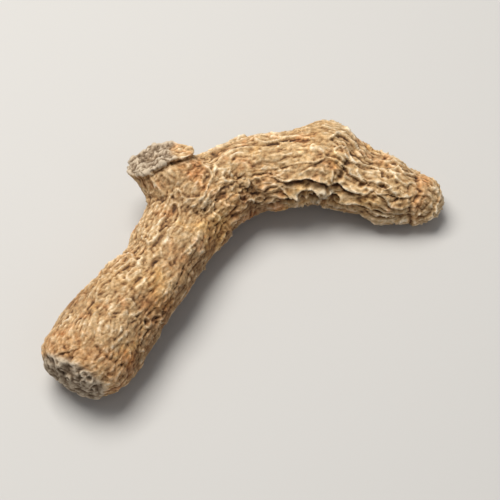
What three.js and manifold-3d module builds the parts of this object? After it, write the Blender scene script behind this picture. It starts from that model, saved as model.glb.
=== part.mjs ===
// A dried black turmeric rhizome: one stout finger that bends through about ninety degrees, with the
// stump of a broken-off side shoot on the outside of the bend and a small bud at its far end.
// It lies on its own underside. Millimetres, +Z up, origin under the middle of its bounding box.
import * as THREE from "three";
import { mergeVertices } from "three/addons/utils/BufferGeometryUtils.js";
import Module from "manifold-3d";

const wasm = await Module();
wasm.setup();

// ---- Driving dimensions ----

const girth = 14.4; // thickness of the finger at the bend, and the unit for the stations below
const flatness = 0.9; // height of the finger's cross-section over its width
const fingerRings = 92; // faces along the finger
const fingerSides = 44; // faces around the finger
const stumpSides = 32; // faces around the shoot stump

// The finger's spine, from the blunt lower end round the bend to the bud. x and y lie on the resting
// plane, lift is the height of the spine above it and wide is the finger's width, all in girths.
const stations = [
  { x: -2.2, y: -2.16, lift: 0.47, wide: 0.96 }, // blunt end
  { x: -1.95, y: -1.7, lift: 0.46, wide: 1.12 }, // first resting patch
  { x: -1.66, y: -1.24, lift: 0.49, wide: 1.03 },
  { x: -1.31, y: -0.76, lift: 0.5, wide: 0.93 }, // waist
  { x: -1.03, y: -0.28, lift: 0.48, wide: 0.94 },
  { x: -0.82, y: 0.17, lift: 0.43, wide: 0.97 }, // bend, second resting patch
  { x: -0.54, y: 0.52, lift: 0.44, wide: 1.02 },
  { x: -0.2, y: 0.77, lift: 0.48, wide: 1.02 },
  { x: 0.36, y: 0.89, lift: 0.51, wide: 0.97 },
  { x: 0.93, y: 0.95, lift: 0.48, wide: 1.01 }, // shoulder
  { x: 1.36, y: 0.78, lift: 0.39, wide: 0.84 },
  { x: 1.78, y: 0.65, lift: 0.3, wide: 0.77 }, // third resting patch
  { x: 2.14, y: 0.56, lift: 0.28, wide: 0.66 },
  { x: 2.38, y: 0.47, lift: 0.29, wide: 0.54 }, // tip of the bud
];

// Local swellings of the flesh. run is the place along the finger from 0 to 1 and turn the place
// around it, in turns from its left side over the crown; reach and spread are their half-widths.
const swellings = [
  { run: 0.43, turn: 0.1, reach: 0.05, spread: 0.13, rise: 0.14 }, // root of the shoot stump
  { run: 0.5, turn: 0.13, reach: 0.03, spread: 0.1, rise: 0.26 }, // saddle between stump and arch
  { run: 0.35, turn: 0.02, reach: 0.05, spread: 0.12, rise: 0.12 }, // left flank under the stump
  { run: 0.735, turn: 0.1, reach: 0.035, spread: 0.16, rise: 0.15 }, // shoulder
  { run: 0.885, turn: 0.2, reach: 0.04, spread: 0.18, rise: 0.2 }, // bud on the crown
  { run: 0.13, turn: 0.55, reach: 0.06, spread: 0.12, rise: 0.07 }, // heel
];

// Ring creases where old leaf scales grew: run, half-width along the finger and depth.
const creases = [
  { run: 0.055, reach: 0.01, depth: 0.05 },
  { run: 0.2, reach: 0.009, depth: 0.035 },
  { run: 0.31, reach: 0.01, depth: 0.04 },
  { run: 0.54, reach: 0.009, depth: 0.03 },
  { run: 0.79, reach: 0.012, depth: 0.06 },
  { run: 0.945, reach: 0.009, depth: 0.12 },
];

// Furrows that run lengthwise where the flesh has shrunk under the skin.
const furrows = { count: 11, depth: 0.035, wander: 0.9 };

// The shoot stump: where it leaves the finger, which way it points, and its size in girths.
const stump = {
  run: 0.45,
  lean: new THREE.Vector3(-0.58, 0.54, 0.62).normalize(),
  root: 0.1, // how far along the lean from the spine it starts
  reach: 0.92, // how far from the spine its broken face is
  waist: 0.325, // half-width of its neck
  rim: 0.335, // half-width of the broken face
  dish: 0.035, // how far the middle of the face is sunk
  slant: 0.28, // how far the face tips over towards the crown, as a slope
  flare: { turn: 0.16, spread: 0.14, rise: 0.16 }, // the side where the neck widens to the rim
  spout: { turn: 0.64, spread: 0.1, rise: 0.45, droop: 0.14 }, // ledge drawn out towards the arch
};

// ---- Shape functions ----

const spine = new THREE.CatmullRomCurve3(
  stations.map((s) => new THREE.Vector3(s.x, s.y, s.lift).multiplyScalar(girth)),
);
const widths = new THREE.CatmullRomCurve3(
  stations.map((s) => new THREE.Vector3(s.wide * girth, 0, 0)),
  false,
  "catmullrom",
);

// A bell curve of height 1 that has all but died away at twice its reach.
function bell(distance, reach) {
  return Math.exp(-((distance / reach) ** 2));
}

// A smooth step from 0 below low to 1 above high.
function ease(value, low, high) {
  const t = Math.min(Math.max((value - low) / (high - low), 0), 1);
  return t * t * (3 - 2 * t);
}

// The shortest way from one turn to another, in turns.
function turnBetween(a, b) {
  const gap = Math.abs(a - b) % 1;
  return Math.min(gap, 1 - gap);
}

// How much of the full width is left at a place along the finger: both ends close like a blunt dome.
function endTaper(run) {
  const bluntEnd = 0.05;
  const budEnd = 0.07;
  const inward = Math.min(run / bluntEnd, (1 - run) / budEnd, 1);
  return Math.pow(1 - Math.pow(1 - inward, 2.6), 1 / 2.6);
}

// Soft lumps from uneven drying, a few waves along and around the finger.
function lumps(run, turn) {
  const angle = 2 * Math.PI * turn;
  return (
    0.03 * Math.sin(31 * run + 2 * angle + 0.6) +
    0.022 * Math.sin(53 * run - 3 * angle + 2.1) +
    0.018 * Math.sin(17 * run + 4 * angle + 4.2)
  );
}

// The finger's half-width at a run and turn, over its plain half-width there.
function fullness(run, turn) {
  let share = 1 + lumps(run, turn);
  for (const s of swellings) {
    share += s.rise * bell(run - s.run, s.reach) * bell(turnBetween(turn, s.turn), s.spread);
  }
  for (const c of creases) {
    share -= c.depth * bell(run - c.run, c.reach);
  }
  const angle = 2 * Math.PI * turn;
  const sway = furrows.wander * Math.sin(19 * run) + 0.5 * furrows.wander * Math.sin(47 * run + 1);
  share -= furrows.depth * Math.abs(Math.sin((furrows.count * angle) / 2 + sway));
  return share * endTaper(run);
}

// A point of the finger's skin.
function fingerPoint(run, turn) {
  const centre = spine.getPointAt(run);
  const along = spine.getTangentAt(run);
  const across = new THREE.Vector3(0, 0, 1).cross(along).normalize();
  const crown = along.clone().cross(across);
  const half = (widths.getPoint(spine.getUtoTmapping(run)).x / 2) * fullness(run, turn);
  const angle = 2 * Math.PI * turn;
  return centre
    .addScaledVector(across, half * Math.cos(angle))
    .addScaledVector(crown, half * flatness * Math.sin(angle));
}

// ---- Solids ----

// A closed skin over rings of points, from one pole to the other, as a geometry.
function loft(rings, sides, pointAt) {
  const points = [pointAt(0, 0)];
  for (let i = 1; i < rings; i++) {
    const even = i / rings;
    const crowded = (1 - Math.cos(Math.PI * even)) / 2; // rings crowd together at the domed ends
    for (let j = 0; j < sides; j++) {
      points.push(pointAt(0.55 * even + 0.45 * crowded, j / sides));
    }
  }
  points.push(pointAt(1, 0));
  const last = points.length - 1;
  const at = (ring, side) => 1 + (ring - 1) * sides + (side % sides);
  const faces = [];
  for (let j = 0; j < sides; j++) {
    faces.push(0, at(1, j), at(1, j + 1));
    faces.push(last, at(rings - 1, j + 1), at(rings - 1, j));
    for (let i = 1; i < rings - 1; i++) {
      faces.push(at(i, j), at(i + 1, j), at(i + 1, j + 1));
      faces.push(at(i, j), at(i + 1, j + 1), at(i, j + 1));
    }
  }
  return new THREE.BufferGeometry().setFromPoints(points).setIndex(faces);
}

// The stump's own axes: outwards and down the slant of its face, along its lean, and across both.
function stumpAxes() {
  const across = new THREE.Vector3().crossVectors(stump.lean, new THREE.Vector3(0, 0, 1)).normalize();
  const outwards = new THREE.Vector3().crossVectors(stump.lean, across);
  return [outwards, stump.lean, across.negate()];
}

// The stump's outline turned about its own axis, leaning out of the bend: its face tips over, one
// side widens to the rim and the other runs out into a drooping ledge.
function stumpGeometry() {
  const outline = [
    [0, stump.root],
    [stump.waist * 1.5, stump.root],
    [stump.waist * 1.38, stump.reach * 0.4],
    [stump.waist * 1.18, stump.reach * 0.58],
    [stump.waist * 1.03, stump.reach * 0.74],
    [stump.waist * 0.96, stump.reach * 0.86],
    [stump.rim, stump.reach * 0.95],
    [stump.rim * 0.86, stump.reach],
    [stump.rim * 0.5, stump.reach - stump.dish * 0.7],
    [0, stump.reach - stump.dish],
  ].map(([r, h]) => new THREE.Vector2(r * girth, h * girth));
  const turned = new THREE.LatheGeometry(outline, stumpSides);
  const place = turned.attributes.position;
  for (let i = 0; i < place.count; i++) {
    const angle = Math.atan2(place.getZ(i), place.getX(i));
    const turn = angle / (2 * Math.PI);
    const height = place.getY(i) / (stump.reach * girth);
    const radius = Math.hypot(place.getX(i), place.getZ(i)) / (stump.rim * girth);
    const { flare, spout } = stump;
    const widened = flare.rise * bell(turnBetween(turn, flare.turn), flare.spread) * ease(height, 0.5, 1);
    const atSpout = bell(turnBetween(turn, spout.turn), spout.spread);
    const drawnOut = atSpout * ease(height, 0.45, 0.95) * ease(radius, 0.35, 1);
    const uneven = 1 + 0.06 * Math.sin(2 * angle + 0.8) + 0.05 * Math.sin(3 * angle + 2) + widened;
    const stretch = uneven + spout.rise * drawnOut;
    place.setX(i, place.getX(i) * stretch);
    place.setZ(i, place.getZ(i) * stretch);
    const tipped = stump.slant * height ** 4 * place.getX(i);
    place.setY(i, place.getY(i) + tipped - spout.droop * girth * drawnOut);
  }
  turned.applyMatrix4(new THREE.Matrix4().makeBasis(...stumpAxes()));
  const foot = spine.getPointAt(stump.run);
  return turned.translate(foot.x, foot.y, foot.z);
}

// A geometry as a manifold-3d solid, facing outwards.
function solidOf(geometry) {
  geometry.deleteAttribute("normal");
  geometry.deleteAttribute("uv");
  const merged = mergeVertices(geometry, 1e-3);
  const triVerts = new Uint32Array(merged.index.array);
  const made = new wasm.Manifold(
    new wasm.Mesh({
      numProp: 3,
      vertProperties: merged.attributes.position.array,
      triVerts,
    }),
  );
  if (made.volume() > 0) return made;
  triVerts.reverse();
  return new wasm.Manifold(
    new wasm.Mesh({
      numProp: 3,
      vertProperties: merged.attributes.position.array,
      triVerts,
    }),
  );
}

// A solid's mesh as a three.js geometry, set down with its origin under the middle of its box.
function geometryOf(solid) {
  const mesh = solid.getMesh();
  const geometry = new THREE.BufferGeometry();
  geometry.setAttribute("position", new THREE.BufferAttribute(mesh.vertProperties, mesh.numProp));
  geometry.setIndex(new THREE.BufferAttribute(mesh.triVerts, 1));
  geometry.computeBoundingBox();
  const middle = geometry.boundingBox.getCenter(new THREE.Vector3());
  geometry.translate(-middle.x, -middle.y, -geometry.boundingBox.min.z);
  geometry.computeVertexNormals();
  return geometry;
}

// Everything below the resting plane, as one block.
function groundGeometry() {
  const side = 8 * girth;
  return new THREE.BoxGeometry(side, side, side).translate(0, 0, -side / 2);
}

const finger = solidOf(loft(fingerRings, fingerSides, fingerPoint));
const shoot = solidOf(stumpGeometry());
const whole = finger.add(shoot).subtract(solidOf(groundGeometry()));

const driedSkin = new THREE.MeshStandardMaterial({
  color: 0xb8996f,
  roughness: 0.88,
  metalness: 0,
});

const rhizome = new THREE.Mesh(geometryOf(whole), driedSkin);
rhizome.name = "rhizome";

const part = new THREE.Group();
part.add(rhizome);

export default part;
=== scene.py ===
import math

import bpy
import numpy as np
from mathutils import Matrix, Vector


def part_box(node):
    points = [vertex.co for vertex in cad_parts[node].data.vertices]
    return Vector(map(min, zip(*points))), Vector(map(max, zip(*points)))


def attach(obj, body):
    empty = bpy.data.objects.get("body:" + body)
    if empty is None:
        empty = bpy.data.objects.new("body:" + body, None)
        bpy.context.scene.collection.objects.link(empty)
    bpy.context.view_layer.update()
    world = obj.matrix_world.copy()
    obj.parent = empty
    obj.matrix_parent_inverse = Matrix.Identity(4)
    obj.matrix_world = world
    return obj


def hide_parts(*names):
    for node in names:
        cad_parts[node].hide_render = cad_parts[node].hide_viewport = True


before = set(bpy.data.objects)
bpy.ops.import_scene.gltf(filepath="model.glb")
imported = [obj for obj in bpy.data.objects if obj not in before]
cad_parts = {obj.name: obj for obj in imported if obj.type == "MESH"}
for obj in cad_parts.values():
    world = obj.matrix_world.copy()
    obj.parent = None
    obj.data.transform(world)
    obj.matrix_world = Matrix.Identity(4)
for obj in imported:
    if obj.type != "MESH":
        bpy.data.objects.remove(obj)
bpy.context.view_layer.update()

boxLow, boxHigh = (1000 * np.array(corner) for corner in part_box("rhizome"))   # millimetres from here on
boxSize = boxHigh - boxLow
print("frame loaded, rhizome box in mm:", boxSize.round(1))

# The flesh under the skin. Lengths are in girths, the finger's thickness at the bend; run goes from 0
# at the blunt end to 1 at the bud, turn goes once around from the left side over the crown.
flesh = {
    "stations": [   # x, y, lift above the floor and width of the finger
        (-2.2, -2.16, 0.47, 0.96),     # blunt end
        (-1.95, -1.7, 0.46, 1.12),     # first resting patch
        (-1.66, -1.24, 0.49, 1.03),
        (-1.31, -0.76, 0.5, 0.93),     # waist
        (-1.03, -0.28, 0.48, 0.94),
        (-0.82, 0.17, 0.43, 0.97),     # bend, second resting patch
        (-0.54, 0.52, 0.44, 1.02),
        (-0.2, 0.77, 0.48, 1.02),
        (0.36, 0.89, 0.51, 0.97),
        (0.93, 0.95, 0.48, 1.01),      # shoulder
        (1.36, 0.78, 0.39, 0.84),
        (1.78, 0.65, 0.3, 0.77),       # third resting patch
        (2.14, 0.56, 0.28, 0.66),
        (2.38, 0.47, 0.29, 0.54),      # tip of the bud
    ],
    "flatness": 0.9,         # height of the cross-section over its width
    "bluntDome": 0.05,       # share of the run over which the blunt end closes
    "budDome": 0.07,
    "domePower": 2.6,
    "waves": [               # height, radians over the whole run, waves around, phase
        (0.03, 31, 2, 0.6),
        (0.022, 53, -3, 2.1),
        (0.018, 17, 4, 4.2),
    ],
    "swellings": [           # run, turn, reach along, spread around, rise
        (0.35, 0.02, 0.05, 0.12, 0.12),    # left flank under the stump
        (0.43, 0.1, 0.05, 0.13, 0.14),     # root of the shoot stump
        (0.5, 0.13, 0.03, 0.1, 0.26),      # saddle between the stump and the arch
        (0.735, 0.1, 0.035, 0.16, 0.15),   # shoulder
        (0.885, 0.2, 0.04, 0.18, 0.2),     # boss before the bud
        (0.13, 0.55, 0.06, 0.12, 0.07),    # heel
    ],
    "rings": 460,
    "sides": 190,
}

# The stump of the shoot that broke off on the outside of the bend, in girths.
shoot = {
    "run": 0.45,
    "lean": (-0.58, 0.54, 0.62),       # out of the bend and upwards
    "root": 0.1,             # how far along the lean from the spine it starts
    "reach": 0.92,           # how far from the spine its broken face is
    "waist": 0.325,          # half-width of its neck
    "rim": 0.335,            # half-width of its broken face
    "dish": 0.045,           # how far the middle of the face is sunk
    "slant": 0.28,           # slope of the broken face over the lean
    "waves": [(0.06, 2, 0.8), (0.05, 3, 2), (0.03, 7, 0)],    # height, waves around, phase
    "undercut": (0.54, 0.16, 0.09),    # turn, spread and depth of the hollow under the rim
    "undercutBand": (0.88, 0.045),     # its share of the reach, and its half-width
    "flare": (0.16, 0.14, 0.16),       # turn, spread and rise of the rim's wide side
    "flareBand": (0.5, 1.0),           # shares of the reach over which it grows
    "spout": (0.64, 0.1, 0.45, 0.14),  # turn, spread, rise and droop of the ledge towards the arch
    "spoutBand": (0.45, 0.95),         # shares of the reach over which it grows
    "spoutInner": 0.35,                # share of the rim within which the face isn't drawn out
    "rings": 190,
    "sides": 150,
    "fillet": 120,           # rounds of relax that smooth the root of the stump into the finger
    "filletBand": (0.1, 0.35, 0.62, 0.82),   # shares of the reach where they fade in and out
    "filletRound": (0.7, 0.95),              # the same for the distance from the stump's axis
    "neckStart": (0.5, 0.7), # shares of the reach over which the neck's own wrinkles fade in
    "neckWidth": 0.57,       # half-width, in girths, within which they lie
    "neckShares": (0.45, 0.35),              # shares of folds and flaps among them
    "faceEdge": (-1.0, -0.5),                # mm from the broken face where the skin gives way to it
}

voxelSize = 0.248            # spacing of the skin's points, mm
stepRounds = 8               # rounds of relax that take out the voxels' steps
evenRounds = 45              # rounds that even out the straightened places


# A bell of height 1: e to the minus square of distance over reach.
def bell(distance, reach):
    return np.exp(-((distance / reach) ** 2))


# A smooth step from 0 below low to 1 above high: 3t^2 - 2t^3.
def ease(value, low, high):
    t = np.clip((value - low) / (high - low), 0, 1)
    return t * t * (3 - 2 * t)


# The shortest way between two turns, in turns, with its sign.
def turnFrom(turn, other):
    return (turn - other + 0.5) % 1 - 0.5


# Rows scaled to length 1.
def unit(rows):
    return rows / np.maximum(np.linalg.norm(rows, axis=-1, keepdims=True), 1e-12)


# A curve through the stations: in each span a cubic whose slope at a station is half the step
# between that station's neighbours (Catmull and Rom's curve), for all columns at once.
def curveThrough(stations, samples):
    spans = len(stations) - 1
    place = np.linspace(0, spans, samples)
    span = np.minimum(place.astype(int), spans - 1)
    t = (place - span)[:, None]
    ends = np.vstack([2 * stations[0] - stations[1], stations, 2 * stations[-1] - stations[-2]])
    before, first, second, after = (ends[span + k] for k in range(4))
    return 0.5 * (2 * first + (second - before) * t
                  + (2 * before - 5 * first + 4 * second - after) * t ** 2
                  + (3 * first - before - 3 * second + after) * t ** 3)


# The spine as arrays: centre, width, and three directions (along it, across it, up through the
# crown) at even steps of run.
def layOutSpine(settings, samples=1600, fineSamples=6000):
    fine = curveThrough(np.array(settings["stations"]), fineSamples)
    steps = np.linalg.norm(np.diff(fine[:, :3], axis=0), axis=1)
    passed = np.concatenate([[0], np.cumsum(steps)])
    run = np.linspace(0, 1, samples)
    even = np.stack([np.interp(run * passed[-1], passed, fine[:, k]) for k in range(4)], axis=1)
    along = unit(np.gradient(even[:, :3], axis=0))
    across = unit(np.cross([0.0, 0.0, 1.0], along))
    crown = np.cross(along, across)
    return {"run": run, "centre": even[:, :3], "wide": even[:, 3], "along": along,
            "across": across, "crown": crown, "length": passed[-1]}


# Reads a column of the spine at any runs.
def onSpine(spine, key, run):
    values = spine[key]
    if values.ndim == 1:
        return np.interp(run, spine["run"], values)
    return np.stack([np.interp(run, spine["run"], values[:, k]) for k in range(3)], axis=-1)


# The finger: spine(run) + half width * (cos(turn) across + flatness sin(turn) crown), where the half
# width rises with each wave and swelling and closes at both ends like a superellipse.
def fingerSurface(run, turn, spine, settings):
    angle = 2 * np.pi * turn
    share = 1
    for rise, along, around, phase in settings["waves"]:
        share = share + rise * np.sin(along * run + around * angle + phase)
    for place, side, reach, spread, rise in settings["swellings"]:
        share = share + rise * bell(run - place, reach) * bell(turnFrom(turn, side), spread)
    inward = np.minimum(np.minimum(run / settings["bluntDome"], (1 - run) / settings["budDome"]), 1)
    power = settings["domePower"]
    share = share * np.maximum(1 - (1 - inward) ** power, 0) ** (1 / power)
    half = (0.5 * onSpine(spine, "wide", run) * share)[..., None]
    return (onSpine(spine, "centre", run)
            + half * np.cos(angle)[..., None] * onSpine(spine, "across", run)
            + half * settings["flatness"] * np.sin(angle)[..., None] * onSpine(spine, "crown", run))


# The stump's axes as rows: outwards and down the slant, along the lean, across both.
def stumpAxes(settings):
    lean = unit(np.array(settings["lean"]))
    across = unit(np.cross(lean, [0.0, 0.0, 1.0]))
    return np.stack([np.cross(lean, across), lean, -across])


# The stump: a profile of radius over height turned about the lean, its outline uneven by a few
# waves of the angle, its face tipped by slant * height^4 * distance outwards, hollowed just under
# the rim by a bell of the height times a bell of the turn, flared on one side and drawn out into a
# drooping spout on the other.
def stumpSurface(step, turn, spine, settings):
    reach, waist, rim = settings["reach"], settings["waist"], settings["rim"]
    profile = np.array([   # radius, height: in at the root, up the neck, over the rim, into the dish
        (0, settings["root"]),
        (1.5 * waist, settings["root"]),
        (1.38 * waist, 0.4 * reach),
        (1.18 * waist, 0.58 * reach),
        (1.03 * waist, 0.74 * reach),
        (0.96 * waist, 0.86 * reach),
        (rim, 0.95 * reach),
        (0.98 * rim, 0.985 * reach),
        (0.86 * rim, reach),
        (0.5 * rim, reach - 0.7 * settings["dish"]),
        (0, reach - settings["dish"]),
    ])
    passed = np.concatenate([[0], np.cumsum(np.linalg.norm(np.diff(profile, axis=0), axis=1))])
    radius = np.interp(step * passed[-1], passed, profile[:, 0])
    height = np.interp(step * passed[-1], passed, profile[:, 1])
    side, spread, depth = settings["undercut"]
    level, band = settings["undercutBand"]
    radius = radius - depth * bell(height - level * reach, band) * bell(turnFrom(turn, side), spread)
    angle = 2 * np.pi * turn
    uneven = 1
    for rise, around, phase in settings["waves"]:
        uneven = uneven + rise * np.sin(around * angle + phase)
    side, spread, rise = settings["flare"]
    low, high = settings["flareBand"]
    uneven = uneven + rise * bell(turnFrom(turn, side), spread) * ease(height, low * reach, high * reach)
    side, spread, rise, droop = settings["spout"]
    low, high = settings["spoutBand"]
    spout = bell(turnFrom(turn, side), spread) * ease(height, low * reach, high * reach)
    spout = spout * ease(radius, settings["spoutInner"] * rim, rim)
    radius = np.maximum(radius, 0) * (uneven + rise * spout)
    outwards = radius * np.cos(angle)
    height = height + settings["slant"] * (height / reach) ** 4 * outwards - droop * spout
    local = np.stack([outwards, height, radius * np.sin(angle)], axis=-1)
    return onSpine(spine, "centre", np.array(settings["run"])) + local @ stumpAxes(settings)


# Faces of a closed skin over rings of points with one pole at each end.
def skinFaces(rings, sides):
    ring, side = np.meshgrid(np.arange(rings - 2), np.arange(sides), indexing="ij")
    here = 1 + ring * sides + side
    beside = 1 + ring * sides + (side + 1) % sides
    quads = np.stack([here, beside, beside + sides, here + sides], axis=-1).reshape(-1, 4)
    around = np.arange(sides)
    last = (rings - 1) * sides + 1
    firstCap = np.stack([np.zeros(sides, int), 1 + (around + 1) % sides, 1 + around], axis=1)
    start = 1 + (rings - 2) * sides
    lastCap = np.stack([np.full(sides, last), start + around, start + (around + 1) % sides], axis=1)
    return quads, np.vstack([firstCap, lastCap])


# Points and faces of a surface given as a function of two numbers from 0 to 1, both ends closed.
def closedSkin(surface, rings, sides):
    first = np.linspace(0, 1, rings + 1)[1:-1]
    second = np.arange(sides) / sides
    u, v = np.meshgrid(first, second, indexing="ij")
    middle = surface(u, v).reshape(-1, 3)
    poles = surface(np.array([0.0, 1.0]), np.array([0.0, 0.0]))
    quads, caps = skinFaces(rings, sides)
    return np.vstack([poles[:1], middle, poles[1:]]), quads, caps


# A mesh datablock from points and any number of face arrays, written with foreach_set.
def meshFrom(name, points, *faceSets):
    mesh = bpy.data.meshes.new(name)
    corners = np.concatenate([faces.ravel() for faces in faceSets])
    sizes = np.concatenate([np.full(len(faces), faces.shape[1]) for faces in faceSets])
    mesh.vertices.add(len(points))
    mesh.vertices.foreach_set("co", points.astype(np.float32).ravel())
    mesh.loops.add(len(corners))
    mesh.loops.foreach_set("vertex_index", corners.astype(np.int32))
    mesh.polygons.add(len(sizes))
    mesh.polygons.foreach_set("loop_start", np.concatenate([[0], np.cumsum(sizes)[:-1]]).astype(np.int32))
    mesh.update(calc_edges=True)
    return mesh


# One skin over several closed skins that overlap, with points about spacing apart: joins them, runs
# the voxel Remesh modifier and reads its points and faces back.
def fuseSkins(skins, spacing):
    points, quads, caps = [], [], []
    for skinPoints, skinQuads, skinCaps in skins:
        offset = sum(len(p) for p in points)
        points.append(skinPoints)
        quads.append(skinQuads + offset)
        caps.append(skinCaps + offset)
    rough = meshFrom("roughFlesh", np.vstack(points), np.vstack(quads), np.vstack(caps))
    holder = bpy.data.objects.new("roughFlesh", rough)
    bpy.context.scene.collection.objects.link(holder)
    remesh = holder.modifiers.new("oneSkin", "REMESH")
    remesh.mode = "VOXEL"
    remesh.voxel_size = spacing
    bpy.context.view_layer.update()
    made = holder.evaluated_get(bpy.context.evaluated_depsgraph_get()).to_mesh()
    fused = np.zeros(3 * len(made.vertices), np.float32)
    made.vertices.foreach_get("co", fused)
    corners = np.zeros(len(made.loops), np.int32)
    made.loops.foreach_get("vertex_index", corners)
    holder.to_mesh_clear()
    bpy.data.objects.remove(holder)
    bpy.data.meshes.remove(rough)
    return fused.reshape(-1, 3).astype(float), corners.reshape(-1, 4)


# Every edge of the quads, both ways, as two arrays of point numbers.
def neighbours(quads):
    pairs = np.vstack([quads[:, [k, (k + 1) % 4]] for k in range(4)])
    return np.concatenate([pairs[:, 0], pairs[:, 1]]), np.concatenate([pairs[:, 1], pairs[:, 0]])


# Each round moves every row half way to the mean of its neighbours' rows.
def relax(rows, links, rounds):
    here, there = links
    count = np.bincount(here, minlength=len(rows))[:, None]
    columns = rows.reshape(len(rows), -1)
    for _ in range(rounds):
        total = np.stack([np.bincount(here, weights=columns[there, k], minlength=len(rows))
                          for k in range(columns.shape[1])], axis=1)
        columns = 0.5 * columns + 0.5 * total / count
    return columns.reshape(rows.shape)


# Point normals: the sum of the crossed diagonals of the quads at each point, scaled to 1.
def normalsOf(points, quads):
    a, b, c, d = (points[quads[:, k]] for k in range(4))
    facing = np.cross(c - a, d - b)
    total = np.zeros_like(points)
    for corner in range(4):
        for axis in range(3):
            total[:, axis] += np.bincount(quads[:, corner], weights=facing[:, axis], minlength=len(points))
    return unit(total)


# Gradient noise, about -0.8 to 0.8: at the eight corners of a point's unit cell a fixed random
# direction dotted with the way to the point, blended with 6t^5 - 15t^4 + 10t^3.
def noiseAt(points, seed):
    dice = np.random.default_rng(seed)
    shuffle = dice.permutation(256)
    directions = unit(dice.normal(size=(256, 3)))
    cell = np.floor(points).astype(int)
    inside = points - cell
    blend = inside ** 3 * (inside * (6 * inside - 15) + 10)
    total = np.zeros(len(points))
    for i in (0, 1):
        for j in (0, 1):
            for k in (0, 1):
                corner = (cell + (i, j, k)) & 255
                pick = shuffle[(shuffle[(shuffle[corner[:, 0]] + corner[:, 1]) & 255] + corner[:, 2]) & 255]
                way = inside - (i, j, k)
                weight = np.prod(np.abs(1 - np.array([i, j, k]) - blend), axis=1)
                total += weight * np.einsum("ij,ij->i", directions[pick], way)
    return total


# Distance in cells to the nearest of one random dot per unit cell.
def dotDistance(points, seed):
    dice = np.random.default_rng(seed)
    shuffle = dice.permutation(256)
    places = dice.random((256, 3))
    cell = np.floor(points).astype(int)
    nearest = np.full(len(points), 9.0)
    for i in (-1, 0, 1):
        for j in (-1, 0, 1):
            for k in (-1, 0, 1):
                near = cell + (i, j, k)
                corner = near & 255
                pick = shuffle[(shuffle[(shuffle[corner[:, 0]] + corner[:, 1]) & 255] + corner[:, 2]) & 255]
                nearest = np.minimum(nearest, np.linalg.norm(near + places[pick] - points, axis=1))
    return nearest


# Three noises as a small sideways shift of each point.
def drift(points, cell, seed):
    return np.stack([noiseAt(points / cell, seed + k) for k in range(3)], axis=1)


# Crests of height 1 with round valleys of height 0 between them, along the zero lines of a noise
# whose cells are stretched by cell: (1 - 2.4 |noise|) to a power.
def crests(points, cell, seed, power):
    return np.clip(1 - 2.4 * np.abs(noiseAt(points / np.array(cell), seed)), 0, 1) ** power


spine = layOutSpine(flesh)
fingerSkin = closedSkin(lambda u, v: fingerSurface(u, v, spine, flesh), flesh["rings"], flesh["sides"])
stumpSkin = closedSkin(lambda u, v: stumpSurface(u, v, spine, shoot), shoot["rings"], shoot["sides"])
bothPoints = np.vstack([fingerSkin[0], stumpSkin[0]])
rawLow, rawHigh = bothPoints.min(axis=0), bothPoints.max(axis=0)
girth = boxSize[0] / (rawHigh[0] - rawLow[0])       # millimetres, from the frame's box
moved = np.array([*(boxLow + boxHigh)[:2] / 2 - girth * (rawLow + rawHigh)[:2] / 2, 0.0])
print("girth in mm:", round(girth, 2))


# From girths about the spine's own origin to millimetres in the frame.
def toFrame(points):
    return girth * points + moved


# Where each point is on the stump: outwards, height along the lean and across, in mm.
def onStump(points):
    foot = toFrame(onSpine(spine, "centre", np.array(shoot["run"])))
    return (points - foot) @ stumpAxes(shoot).T


# 1 around the root of the stump, where it flows into the finger, and 0 elsewhere.
def rootShare(points):
    local = onStump(points)
    reach = shoot["reach"] * girth
    height = local[:, 1] / reach
    radius = np.hypot(local[:, 0], local[:, 2])
    start, full, fade, end = shoot["filletBand"]
    near, far = (share * reach for share in shoot["filletRound"])
    return ease(height, start, full) * ease(-height, -end, -fade) * ease(-radius, -far, -near)


skins = [(toFrame(points), quads, caps) for points, quads, caps in (fingerSkin, stumpSkin)]
fleshPoints, quads = fuseSkins(skins, voxelSize)
links = neighbours(quads)
fleshPoints = relax(fleshPoints, links, stepRounds)
atRoot = rootShare(fleshPoints)[:, None]
fleshPoints = (1 - atRoot) * fleshPoints + atRoot * relax(fleshPoints, links, shoot["fillet"])
print("one skin over finger and stump:", len(fleshPoints), "points,", 2 * len(quads), "triangles")


# Where each point is along and around the finger: the nearest spine sample's run, then the distance
# along the spine, across and towards the crown, as if the finger were straight. The nearest sample is
# looked for among every fourth one, for one block of points after another.
def straighten(points, every=4, blockSize=4000):
    centres = toFrame(spine["centre"])[::every]
    nearest = np.empty(len(points), int)
    for start in range(0, len(points), blockSize):
        block = points[start:start + blockSize]
        gaps = ((block[:, None, :] - centres[None]) ** 2).sum(axis=2)
        nearest[start:start + blockSize] = gaps.argmin(axis=1)
    coarseRun = spine["run"][::every][nearest]
    length = girth * spine["length"]
    way = points - toFrame(onSpine(spine, "centre", coarseRun))
    run = coarseRun + np.einsum("ij,ij->i", way, onSpine(spine, "along", coarseRun)) / length
    way = points - toFrame(onSpine(spine, "centre", run))
    across = np.einsum("ij,ij->i", way, onSpine(spine, "across", run))
    crown = np.einsum("ij,ij->i", way, onSpine(spine, "crown", run))
    turn = (np.arctan2(crown, across) / (2 * np.pi)) % 1
    return run, turn, np.stack([run * length, across, crown], axis=1)


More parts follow.
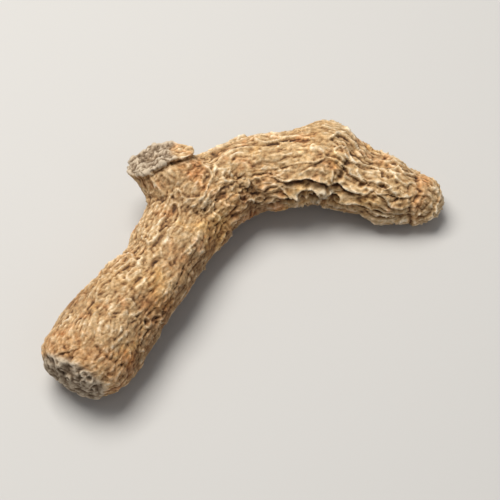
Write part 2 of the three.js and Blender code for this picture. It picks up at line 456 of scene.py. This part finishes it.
# The skin's relief, in mm. Each kind has a height and the size of its cells along, across and up, and
# a kind of lines has the power that thins them.
relief = {
    "skin": 0.2,             # how far the skin stands off the flesh
    "swell": (0.5, (9.0, 9.0, 9.0)),    # broad unevenness, on the broken faces too
    "lumps": (0.45, (6.0, 2.8, 2.8)),
    "longRidges": (0.45, (10.0, 2.6, 2.6), 4.5),
    "ridges": (0.28, (4.6, 1.5, 1.5), 4.2),
    "creases": (0.42, (5.0, 1.7, 1.7), 3.0),
    "crinkles": (0.27, (3.0, 0.95, 0.95), 1.6),
    "crumples": (0.09, (0.8, 0.5, 0.5), 1.0),
    "flaps": (0.5, (5.5, 2.8, 2.8)),
    "smallFlaps": (0.26, (2.8, 1.6, 1.6)),
    "drifts": [(1.5, 8.0), (0.5, 2.6), (0.16, 0.9)],    # amount and cell
    "ridgeArea": (5.0, -0.3, 0.2),      # cell, and the noise between which ridges fade in
    "leastRidges": 0.3,                 # share of short ridges left where they don't
    "creaseArea": (4.0, -0.25, 0.25),
    "leastCrinkles": 0.4,               # share of crinkles left where there are no folds
    "flapArea": (2.2, -0.15, 0.15),     # cell, counted in a flap's own cells, and the noise
    "flapEdge": 0.03,                   # half the band of noise in which a flap drops
    "flapLip": (0.8, 0.04, 0.035),      # height, place and width of its lip in that noise
    "pits": [(2.3, 0.3), (1.2, 0.22)],  # cell and depth
    "pitArea": (3.1, 0.05, 0.3),
    "pitWidth": 0.2,                    # in cells
    "granules": (0.3, 0.7),             # this and the next three are the broken faces'
    "strands": (0.25, (0.9, 2.0, 0.9), 1.4),
    "breakSwell": (0.9, 2.1),
    "breakSteps": (0.3, (2.0, 2.0, 2.0)),
    "fineCrest": (8, 0.12),             # rounds of relax that make the near neighbourhood, and how
    "broadCrest": (45, 0.35),           # far a full crest stands over it; the same for the wide one
    "endFace": (-1.9, -1.1),            # minus the mm from the blunt end where its face fades in
    "plain": (0.5, 0.5, 0.0),           # the shares away from every zone, and their weight in a zone
    "plainWeight": 0.02,
    "zones": [   # run, turn, reach along, spread around, share of folds and flaps, height of shelves
        (0.10, 0.30, 0.11, 0.60, 0.45, 0.45, 0.1),     # lower limb, finely crinkled
        (0.32, 0.28, 0.12, 0.60, 0.48, 0.5, 0.1),      # upper limb
        (0.48, 0.45, 0.05, 0.12, 0.8, 0.8, 0.3),       # hollow of the bend
        (0.56, 0.30, 0.06, 0.60, 0.65, 0.7, 0.2),      # left of the arch
        (0.68, 0.24, 0.07, 0.13, 0.3, 0.7, 0.12),      # crown of the arch
        (0.70, 0.45, 0.05, 0.08, 0.9, 1.0, 1.75),      # ragged shelves low on the arch
        (0.78, 0.41, 0.04, 0.09, 0.9, 1.0, 1.15),
        (0.80, 0.18, 0.05, 0.13, 0.7, 1.0, 0.3),       # behind the shoulder
        (0.89, 0.30, 0.04, 0.60, 0.8, 1.2, 0.5),       # boss before the bud
        (0.98, 0.30, 0.04, 0.60, 0.5, 0.6, 0.15),      # bud
    ],
    "shelves": {
        "count": 15, "rise": 1.0, "sunk": 0.35,
        "sway": 1.1, "swayCell": (5.0, 3.2, 3.2),
        "fray": 0.31, "frayCell": (1.5, 1.3, 1.3),
        "power": 1.6,                   # of the slow rise
        "drop": 0.1,                    # share of a shelf's width that its drop takes
        "lip": (0.14, 0.88, 0.07),      # height, place and width
    },
    "rings": [   # run, half-width and depth of a ring around the finger, and how far it wanders
        (0.055, 0.6, 0.2, 2.8), (0.105, 0.25, 0.1, 3.2), (0.15, 0.22, 0.09, 2.8), (0.2, 0.45, 0.15, 2.6),
        (0.235, 0.22, 0.09, 3.0), (0.275, 0.25, 0.1, 3.4), (0.31, 0.45, 0.16, 2.5), (0.36, 0.25, 0.12, 3.0),
        (0.4, 0.28, 0.13, 2.6), (0.54, 0.4, 0.15, 2.6), (0.79, 0.7, 0.3, 2.2), (0.855, 0.35, 0.15, 2.4),
        (0.945, 0.4, 0.3, 2.8),
    ],
    "ringArea": (4.0, -0.35, 0.05),
    "ringWander": 5.0,                  # cell
    "ringFray": (0.3, 1.1),
    "ringCollar": (0.5, 1.8),           # share of the depth, and how many half-widths away
    "rubbed": [(0.731, 0.244, 0.017, 0.04)],   # run, turn, reach and spread of skin worn smooth
    "scars": [   # run, turn and radius of the mark a root left, in mm
        (0.53, 0.30, 1.0), (0.17, 0.42, 0.8), (0.26, 0.2, 0.7), (0.62, 0.5, 0.9), (0.36, 0.62, 0.8),
        (0.09, 0.12, 0.9), (0.7, 0.93, 0.9), (0.22, 0.85, 1.0), (0.83, 0.36, 0.7),
    ],
    "scarRim": (0.3, 0.3),              # height and width of its ring, in radii
    "scarDot": (0.65, 0.5),
}


run, turn, straight = straighten(fleshPoints)
straight = relax(straight, links, evenRounds)
fingerLength = girth * spine["length"]
local = onStump(fleshPoints)
stumpReach = shoot["reach"] * girth
stumpRadius = np.hypot(local[:, 0], local[:, 2])
faceLevel = stumpReach + shoot["slant"] * local[:, 0]

# Shares from 0 to 1: on the stump's neck, on its broken face, and on the broken face of the blunt end.
low, high = (share * stumpReach for share in shoot["neckStart"])
onNeck = ease(local[:, 1], low, high) * ease(shoot["neckWidth"] * girth - stumpRadius, 0, 1)
onFace = ease(local[:, 1] - faceLevel, *shoot["faceEdge"]) * onNeck
endFace = ease(-straight[:, 0], *relief["endFace"])
broken = np.maximum(onFace, endFace)


# The shares of folds, flaps and shelves at each point: the zones' shares averaged by their bells.
def zoneShares():
    weight = np.full(len(run), relief["plainWeight"])
    total = weight[:, None] * np.array(relief["plain"])
    for place, side, reach, spread, *shares in relief["zones"]:
        near = bell(run - place, reach) * bell(turnFrom(turn, side), spread)
        weight = weight + near
        total = total + near[:, None] * np.array(shares)
    return (total / weight[:, None]).T


# Winding steps in the skin: along the zero line of a noise the height changes by 1 within a narrow
# band, with a thin lip on the high side, and only where a broader noise is high.
def flaps(points, cell, seed):
    wider, low, high = relief["flapArea"]
    edge = relief["flapEdge"]
    lip, place, width = relief["flapLip"]
    level = noiseAt(points / np.array(cell), seed)
    torn = ease(noiseAt(points / (wider * np.array(cell)), seed + 1), low, high)
    return torn * (ease(level, -edge, edge) - 0.5 + lip * bell(level - place, width))


# Overlapping shelves that run along the finger: the fraction of count * turn + sway + fray, which
# rises slowly, curls up at a thin lip and then drops at once to the next shelf.
def shelves(points, turn, seed):
    kind = relief["shelves"]
    level = (kind["count"] * turn + kind["sway"] * noiseAt(points / np.array(kind["swayCell"]), seed)
             + kind["fray"] * noiseAt(points / np.array(kind["frayCell"]), seed + 1)) % 1
    drop = ease(1 - level, 0, kind["drop"])
    lip, place, width = kind["lip"]
    return kind["rise"] * drop * (level ** kind["power"] + lip * bell(level - place, width)) - kind["sunk"]


# Rings around the finger: for each, a groove that is a bell of the distance along the finger from a
# wandering line, with a low collar beside it, both broken up where a broad noise is low.
def rings(points, seed):
    total = np.zeros(len(points))
    cell, low, high = relief["ringArea"]
    fray, frayCell = relief["ringFray"]
    collar, away = relief["ringCollar"]
    for k, (place, reach, depth, wander) in enumerate(relief["rings"]):
        line = place * fingerLength + wander * noiseAt(points / relief["ringWander"], seed + k)
        kept = ease(noiseAt(points / cell + k, seed + 1), low, high)
        gap = points[:, 0] - line - fray * noiseAt(points / frayCell, seed)
        total += kept * depth * (collar * bell(gap - away * reach, reach) - bell(gap, reach))
    return total


# Marks of roots: a raised ring of the scar's radius around a sunken dot.
def scars(points, turn):
    total = np.zeros(len(points))
    around = 2 * np.pi * np.hypot(points[:, 1], points[:, 2])
    rim, rimWidth = relief["scarRim"]
    dot, dotWidth = relief["scarDot"]
    for place, side, radius in relief["scars"]:
        gap = np.hypot(points[:, 0] - place * fingerLength, around * turnFrom(turn, side)) / radius
        total += rim * radius * bell(gap - 1, rimWidth) - dot * radius * bell(gap, dotWidth)
    return total


# Small pits scattered over the skin: a bell of the distance to the nearest random dot, deep only
# where a noise is high.
def pits(points, cell, depth, seed):
    areaCell, low, high = relief["pitArea"]
    rare = ease(noiseAt(points / areaCell, seed + 1), low, high)
    return -depth * rare * bell(dotDistance(points / cell, seed), relief["pitWidth"])


# Wrinkled skin along a straightened shape: soft lumps, long and short thin ridges, creases, fine
# crinkles, crumples and torn flaps of two sizes, all bent by three sizes of drift.
def wrinkles(points, seed, foldShare, flapShare):
    bent = points
    for k, (amount, cell) in enumerate(relief["drifts"]):
        bent = bent + amount * drift(points, cell, seed + 10 * k)

    def lines(kind, number):
        height, cell, power = relief[kind]
        return height * crests(bent, cell, seed + number, power)

    def tears(kind, number):
        height, cell = relief[kind]
        return height * flaps(bent, cell, seed + number)

    def patches(kind, number):
        cell, low, high = relief[kind]
        return ease(noiseAt(points / cell, seed + number), low, high)

    lumpHeight, lumpCell = relief["lumps"]
    leastRidges, leastCrinkles = relief["leastRidges"], relief["leastCrinkles"]
    ridged = patches("ridgeArea", 50)
    creased = patches("creaseArea", 52)
    return (foldShare * (lumpHeight * noiseAt(bent / np.array(lumpCell), seed + 51)
                         + ridged * lines("longRidges", 31)
                         + (leastRidges + (1 - leastRidges) * ridged) * lines("ridges", 33)
                         - creased * lines("creases", 32))
            - (leastCrinkles + (1 - leastCrinkles) * foldShare) * lines("crinkles", 34)
            - lines("crumples", 35)
            + flapShare * (tears("flaps", 40) + tears("smallFlaps", 44)))


# The rough face of a break: granules, short strands, broad unevenness and small steps.
def brokenRelief(points):
    granuleHeight, granuleCell = relief["granules"]
    strandHeight, strandCell, strandPower = relief["strands"]
    swellHeight, swellCell = relief["breakSwell"]
    stepHeight, stepCell = relief["breakSteps"]
    return (granuleHeight * (0.5 - dotDistance(points / granuleCell, 61))
            + strandHeight * (crests(points, strandCell, 62, strandPower) - 0.5)
            + swellHeight * noiseAt(points / swellCell, 63)
            + stepHeight * flaps(points, stepCell, 64))


# 1 everywhere but on the skin that is worn smooth.
def unworn():
    share = np.ones(len(run))
    for place, side, reach, spread in relief["rubbed"]:
        share = share * (1 - bell(run - place, reach) * bell(turnFrom(turn, side), spread))
    return share


foldShare, flapShare, shelfShare = zoneShares() * unworn()
fingerHeight = (wrinkles(straight, 100, foldShare, flapShare) + shelfShare * shelves(straight, turn, 70)
                + rings(straight, 300) + scars(straight, turn))
for k, (cell, depth) in enumerate(relief["pits"]):
    fingerHeight = fingerHeight + pits(fleshPoints, cell, depth, 81 + 2 * k)
neckHeight = wrinkles(local[:, [1, 0, 2]], 200, *shoot["neckShares"])
swellHeight, swellCell = relief["swell"]
height = relief["skin"] + swellHeight * noiseAt(straight / np.array(swellCell), 5)
height = height + (1 - broken) * ((1 - onNeck) * fingerHeight + onNeck * neckHeight)
height = height + onFace * brokenRelief(local) + endFace * brokenRelief(straight)
print("wrinkles worked out")

skinPoints = fleshPoints + height[:, None] * normalsOf(fleshPoints, quads)
skinPoints[:, 2] = np.maximum(skinPoints[:, 2], 0)


# How far each point stands out from its neighbourhood, over the height of a full crest: from -1 in
# deep creases to 1 on sharp crests.
def crestLevel(rounds, fullHeight):
    way = skinPoints - relax(skinPoints, links, rounds)
    return np.clip(np.einsum("ij,ij->i", way, skinNormals) / fullHeight, -1, 1)


skinNormals = normalsOf(skinPoints, quads)
crest = (crestLevel(*relief["fineCrest"]) + crestLevel(*relief["broadCrest"])) / 2
print("crests measured")


# Places where the skin's colour changes, rust and cream of its own and painted shade: run, turn, reach
# along, spread around, strength.
stainsAndShade = {
    "rust": [
        (0.955, 0.30, 0.014, 0.25, 1.0), (0.495, 0.43, 0.02, 0.05, 1.0), (0.30, 0.36, 0.022, 0.05, 0.8),
        (0.20, 0.38, 0.02, 0.05, 0.8), (0.04, 0.30, 0.03, 0.30, 0.6), (0.47, 0.24, 0.015, 0.10, 0.7),
        (0.62, 0.40, 0.03, 0.05, 0.5),
    ],
    "cream": [
        (0.70, 0.25, 0.05, 0.10, 0.8), (0.40, 0.33, 0.03, 0.06, 0.6), (0.90, 0.33, 0.025, 0.10, 0.8),
        (0.78, 0.40, 0.05, 0.06, 0.6), (0.25, 0.22, 0.05, 0.06, 0.4),
    ],
    # Painted shade: darkens the finger most along its right side and underside, and less over the limb's
    # upper side and a few small places.
    "paintedShade": [
        (0.56, 0.53, 0.09, 0.085, 1.0), (0.27, 0.53, 0.22, 0.10, 1.0), (0.75, 0.56, 0.10, 0.08, 0.8),
        (0.45, 0.80, 0.50, 0.15, 0.7), (0.12, 0.08, 0.06, 0.06, 0.5), (0.93, 0.62, 0.06, 0.12, 0.6),
        (0.43, 0.50, 0.05, 0.05, 0.6), (0.18, 0.30, 0.20, 0.40, 0.32), (0.42, 0.22, 0.05, 0.14, 0.35),
        (0.24, 0.50, 0.16, 0.07, 0.6),
    ],
}
stainAndShadeEdges = {
    "cells": (2.2, 0.8),     # of the broad and the fine noise, mm
    "fineShare": 0.6,
    "fade": (-0.35, 0.2),    # the noise between which a stain comes in
    "least": 0.35,           # what is left of a stain where it doesn't
}
streakMarks = {
    "drifts": [(1.3, 6.0, 410), (0.35, 1.6, 420)],    # amount, cell, seed
    "noises": [(1.0, (3.4, 0.9, 0.9), 430), (0.6, (1.5, 0.5, 0.5), 431)],   # share, cell, seed
}


# The places' bells of run and turn added up, with edges broken by a noise.
def stainAndShadeShare(places):
    total = np.zeros(len(run))
    for place, side, reach, spread, strength in places:
        total += strength * bell(run - place, reach) * bell(turnFrom(turn, side), spread)
    broad, fine = stainAndShadeEdges["cells"]
    level = noiseAt(fleshPoints / broad, 400) + stainAndShadeEdges["fineShare"] * noiseAt(fleshPoints / fine, 401)
    least = stainAndShadeEdges["least"]
    return np.clip(total, 0, 1) * (least + (1 - least) * ease(level, *stainAndShadeEdges["fade"]))


# Light and dark streaks that run along the finger: two noises with long narrow cells, bent by drifts.
def streaks(points):
    bent = points
    for amount, cell, seed in streakMarks["drifts"]:
        bent = bent + amount * drift(points, cell, seed)
    return sum(share * noiseAt(bent / cell, seed) for share, cell, seed in streakMarks["noises"])


# A named number for every point, for the finish to read.
def storePerPoint(mesh, name, values):
    attribute = mesh.attributes.new(name, "FLOAT", "POINT")
    attribute.data.foreach_set("value", values.astype(np.float32))


rhizomeMesh = meshFrom("driedRhizome", skinPoints / 1000, quads)
rhizomeMesh.polygons.foreach_set("use_smooth", np.ones(len(quads), bool))
storePerPoint(rhizomeMesh, "crest", crest)
storePerPoint(rhizomeMesh, "brokenFace", broken)
storePerPoint(rhizomeMesh, "streak", streaks(straight))
for name, places in stainsAndShade.items():
    storePerPoint(rhizomeMesh, name, stainAndShadeShare(places))
driedRhizome = bpy.data.objects.new("driedRhizome", rhizomeMesh)
bpy.context.scene.collection.objects.link(driedRhizome)

# The skin's finish. Scales are in cells to the metre.
finish = {
    # The ramp's dark end, read in deep creases, is painted shade; its pale end on the crests is the skin's
    # own paler ridges.
    "shadedCreaseToCrest": [   # place on the ramp, linear colour
        (0.0, (0.035, 0.014, 0.005)),
        (0.18, (0.13, 0.062, 0.024)),
        (0.36, (0.36, 0.205, 0.088)),
        (0.5, (0.51, 0.33, 0.16)),
        (0.68, (0.66, 0.465, 0.26)),
        (0.85, (0.82, 0.64, 0.42)),
        (1.0, (0.93, 0.80, 0.60)),
    ],
    "crestShare": 0.42,      # how far the relief moves a point along the ramp
    "mottleShare": 0.3,
    "mottleScale": 1000,
    "streakShare": 0.31,
    "patches": [   # colour, scale, noise from, to, strength, shift of the pattern in metres
        ((0.50, 0.23, 0.08), 150, 0.54, 0.72, 0.42, 0.0),       # orange-brown stains
        ((0.56, 0.43, 0.17), 110, 0.52, 0.7, 0.42, 0.31),       # golden patches
        ((0.50, 0.33, 0.25), 190, 0.56, 0.72, 0.5, 0.67),       # pinkish patches
        ((0.36, 0.30, 0.22), 90, 0.52, 0.7, 0.45, 1.13),        # grey dust
    ],
    "stainsAndShade": {   # what the colour is multiplied by, strength
        "rust": ((1.08, 0.7, 0.42), 0.7),
        "cream": ((1.3, 1.26, 1.16), 0.7),
        # Painted shade: the brown that darkens the finger's right side and underside.
        "paintedShade": ((0.52, 0.4, 0.31), 0.85),
    },
    "patchLevel": 0.42,      # the value in a patch's colour that leaves the skin as it is
    "fleckScale": 1500,
    "flecks": (0.3, 0.7, 0.72, 1.2),   # noise from, to, and what the colour is multiplied by there
    # Read at noise + crest, so the dark stops fall in the broken face's hollows as painted shade.
    "brokenFace": [   # place on the ramp, linear colour
        (0.2, (0.06, 0.033, 0.016)),
        (0.42, (0.21, 0.145, 0.09)),
        (0.56, (0.33, 0.245, 0.165)),
        (0.75, (0.60, 0.49, 0.36)),
    ],
    "brokenScale": 1100,
    "brokenCrestShare": 0.35,
    "roughScale": 400,
    "roughness": (0.72, 0.95),    # lowest, highest
    "specular": 0.35,
    "grainScale": 1700,
    "grainDepth": 0.00028,   # metres
    "grainStrength": 0.7,
}


# The nodes of one material, made and linked by short calls that hand back sockets.
class MaterialNodes:
    def __init__(self, name):
        self.material = bpy.data.materials.new(name)
        self.material.use_nodes = True
        self.tree = self.material.node_tree
        self.tree.nodes.clear()
        self.shader = self.node("ShaderNodeBsdfPrincipled")
        output = self.node("ShaderNodeOutputMaterial")
        self.tree.links.new(self.shader.outputs[0], output.inputs["Surface"])
        self.place = self.node("ShaderNodeTexCoord").outputs["Object"]

    # A node of a kind, with its settings.
    def node(self, kind, **values):
        made = self.tree.nodes.new(kind)
        for key, value in values.items():
            setattr(made, key, value)
        return made

    # A socket is fed by another socket or holds a plain value.
    def feed(self, socket, value):
        if isinstance(value, bpy.types.NodeSocket):
            self.tree.links.new(value, socket)
        else:
            socket.default_value = value

    # A number that the mesh holds for every point.
    def attribute(self, name):
        return self.node("ShaderNodeAttribute", attribute_name=name).outputs["Fac"]

    # One step of arithmetic.
    def sums(self, operation, *values):
        made = self.node("ShaderNodeMath", operation=operation)
        for socket, value in zip(made.inputs, values):
            self.feed(socket, value)
        return made.outputs[0]

    # A smooth step from newLow at low to newHigh at high.
    def remap(self, value, low, high, newLow, newHigh):
        made = self.node("ShaderNodeMapRange", interpolation_type="SMOOTHSTEP")
        for socket, given in zip(made.inputs, (value, low, high, newLow, newHigh)):
            self.feed(socket, given)
        return made.outputs[0]

    # A noise on the object's own coordinates, scale cells to the metre.
    def noise(self, scale, detail=4.0, shift=0.0, rough=0.55):
        moved = self.node("ShaderNodeMapping")
        self.feed(moved.inputs["Vector"], self.place)
        moved.inputs["Location"].default_value = (shift, shift, shift)
        made = self.node("ShaderNodeTexNoise")
        self.feed(made.inputs["Vector"], moved.outputs[0])
        made.inputs["Scale"].default_value = scale
        made.inputs["Detail"].default_value = detail
        made.inputs["Roughness"].default_value = rough
        return made.outputs["Fac"]

    # The colour at a value between stops of position and colour.
    def ramp(self, value, stops):
        made = self.node("ShaderNodeValToRGB")
        elements = made.color_ramp.elements
        while len(elements) < len(stops):
            elements.new(1.0)
        for element, (position, colour) in zip(elements, stops):
            element.position = position
            element.color = (*colour, 1)
        self.feed(made.inputs["Fac"], value)
        return made.outputs["Color"]

    # One colour over another by a share, mixed or multiplied.
    def blend(self, share, under, over, kind="MIX"):
        made = self.node("ShaderNodeMix", data_type="RGBA", blend_type=kind)
        self.feed(made.inputs[0], share)
        self.feed(made.inputs[6], under)
        self.feed(made.inputs[7], over)
        return made.outputs[2]


# The skin's colour: a ramp read at crest + mottle + streak, which paints shade into the creases, then
# patches and the stain places multiplied in by their shares, one of them painted shade, and fine flecks
# over all. The broken faces have a ramp of their own, read at noise + crest, with painted shade in their
# hollows. The grain is a fine bump.
def driedSkin():
    skin = MaterialNodes("driedSkin")
    mottle = skin.noise(finish["mottleScale"], detail=6.0, rough=0.72)
    level = skin.sums("MULTIPLY_ADD", skin.attribute("crest"), finish["crestShare"], 0.5)
    level = skin.sums("MULTIPLY_ADD", skin.sums("SUBTRACT", mottle, 0.5), 2 * finish["mottleShare"], level)
    level = skin.sums("MULTIPLY_ADD", skin.attribute("streak"), finish["streakShare"], level)
    colour = skin.ramp(level, finish["shadedCreaseToCrest"])
    for tint, scale, low, high, strength, shift in finish["patches"]:
        share = skin.remap(skin.noise(scale, detail=5.0, shift=shift, rough=0.62), low, high, 0.0, strength)
        tinted = skin.blend(1.0, colour, (*[c / finish["patchLevel"] for c in tint], 1), "MULTIPLY")
        colour = skin.blend(share, colour, tinted)
    for name, (tint, strength) in finish["stainsAndShade"].items():
        share = skin.sums("MULTIPLY", skin.attribute(name), strength)
        colour = skin.blend(share, colour, skin.blend(1.0, colour, (*tint, 1), "MULTIPLY"))
    fleck = skin.remap(skin.noise(finish["fleckScale"], detail=3.0, shift=0.2), *finish["flecks"])
    flecks = skin.node("ShaderNodeCombineColor")
    for socket in flecks.inputs:
        skin.feed(socket, fleck)
    colour = skin.blend(1.0, colour, flecks.outputs[0], "MULTIPLY")

    granules = skin.noise(finish["brokenScale"], detail=5.0, rough=0.7)
    level = skin.sums("MULTIPLY_ADD", skin.attribute("crest"), finish["brokenCrestShare"], granules)
    broken = skin.ramp(level, finish["brokenFace"])
    colour = skin.blend(skin.attribute("brokenFace"), colour, broken)
    skin.feed(skin.shader.inputs["Base Color"], colour)

    rough = skin.remap(skin.noise(finish["roughScale"], shift=0.4), 0.3, 0.7, *finish["roughness"])
    skin.feed(skin.shader.inputs["Roughness"], rough)
    skin.shader.inputs["Specular IOR Level"].default_value = finish["specular"]
    bump = skin.node("ShaderNodeBump")
    bump.inputs["Strength"].default_value = finish["grainStrength"]
    bump.inputs["Distance"].default_value = finish["grainDepth"]
    skin.feed(bump.inputs["Height"], skin.noise(finish["grainScale"], detail=5.0, rough=0.65))
    skin.feed(skin.shader.inputs["Normal"], bump.outputs["Normal"])
    return skin.material


rhizomeMesh.materials.append(driedSkin())
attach(driedRhizome, "root")
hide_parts("rhizome")
print("rhizome finished")

# The floor, lamps and camera, in metres.
studio = {
    "floorReach": 3.0,       # from the middle to each side
    "floorColour": (0.56, 0.55, 0.535),
    "floorRoughness": 0.7,
    "elevation": 58.0,       # camera's height above the horizon, degrees
    "lens": 110.0,           # mm, as the sensor's width is
    "sensor": 36.0,
    "clip": (0.01, 20),
    "fill": 0.8,             # share of the picture's width that the rhizome takes up
    "key": {"place": (-0.13, 0.15, 0.48), "size": 0.3, "power": 3.3, "colour": (1.0, 0.97, 0.92)},
    "soft": {"place": (0.4, -0.45, 0.4), "size": 0.6, "power": 0.35, "colour": (0.95, 0.97, 1.0)},
    "sky": ((0.95, 0.97, 1.0), 0.24),    # colour, strength
}


# Turns a lamp or camera so that it looks at the target.
def pointAt(thing, target):
    thing.rotation_mode = "QUATERNION"
    thing.rotation_quaternion = (Vector(target) - thing.location).to_track_quat("-Z", "Y")


# One square in the plane that the rhizome rests on.
def addFloor():
    corners = studio["floorReach"] * np.array([[-1, -1, 0], [1, -1, 0], [1, 1, 0], [-1, 1, 0]], float)
    floor = bpy.data.objects.new("floor", meshFrom("floor", corners, np.array([[0, 1, 2, 3]])))
    bpy.context.scene.collection.objects.link(floor)
    paint = bpy.data.materials.new("paleFloor")
    paint.use_nodes = True
    shader = paint.node_tree.nodes["Principled BSDF"]
    shader.inputs["Base Color"].default_value = (*studio["floorColour"], 1)
    shader.inputs["Roughness"].default_value = studio["floorRoughness"]
    floor.data.materials.append(paint)


# A square area lamp that shines at the target.
def addLamp(name, settings, target):
    lamp = bpy.data.lights.new(name, "AREA")
    lamp.size = settings["size"]
    lamp.energy = settings["power"]
    lamp.color = settings["colour"]
    holder = bpy.data.objects.new(name, lamp)
    holder.location = settings["place"]
    bpy.context.scene.collection.objects.link(holder)
    pointAt(holder, target)


# A camera in front of the target, raised by the elevation, and so far away that the given width takes
# up the fill share of the picture: width / fill * lens / sensor.
def addCamera(target, width):
    camera = bpy.data.cameras.new("camera")
    camera.lens = studio["lens"]
    camera.sensor_width = studio["sensor"]
    away = width / studio["fill"] * studio["lens"] / studio["sensor"]
    rise = math.radians(studio["elevation"])
    holder = bpy.data.objects.new("camera", camera)
    holder.location = target + away * Vector((0, -math.cos(rise), math.sin(rise)))
    camera.clip_start, camera.clip_end = studio["clip"]
    bpy.context.scene.collection.objects.link(holder)
    pointAt(holder, target)
    bpy.context.scene.camera = holder


# An even sky of one colour and strength.
def addSky(colour, strength):
    world = bpy.data.worlds.new("sky")
    world.use_nodes = True
    background = world.node_tree.nodes["Background"]
    background.inputs["Color"].default_value = (*colour, 1)
    background.inputs["Strength"].default_value = strength
    bpy.context.scene.world = world


middle = Vector((boxLow + boxHigh) / 2000)    # half the sum of the corners, in metres
addFloor()
addLamp("keyLamp", studio["key"], middle)
addLamp("softLamp", studio["soft"], middle)
addSky(*studio["sky"])
addCamera(middle, float(boxSize[0]) / 1000)
bpy.context.scene.view_settings.view_transform = "Standard"
print("floor, lamps and camera in place")
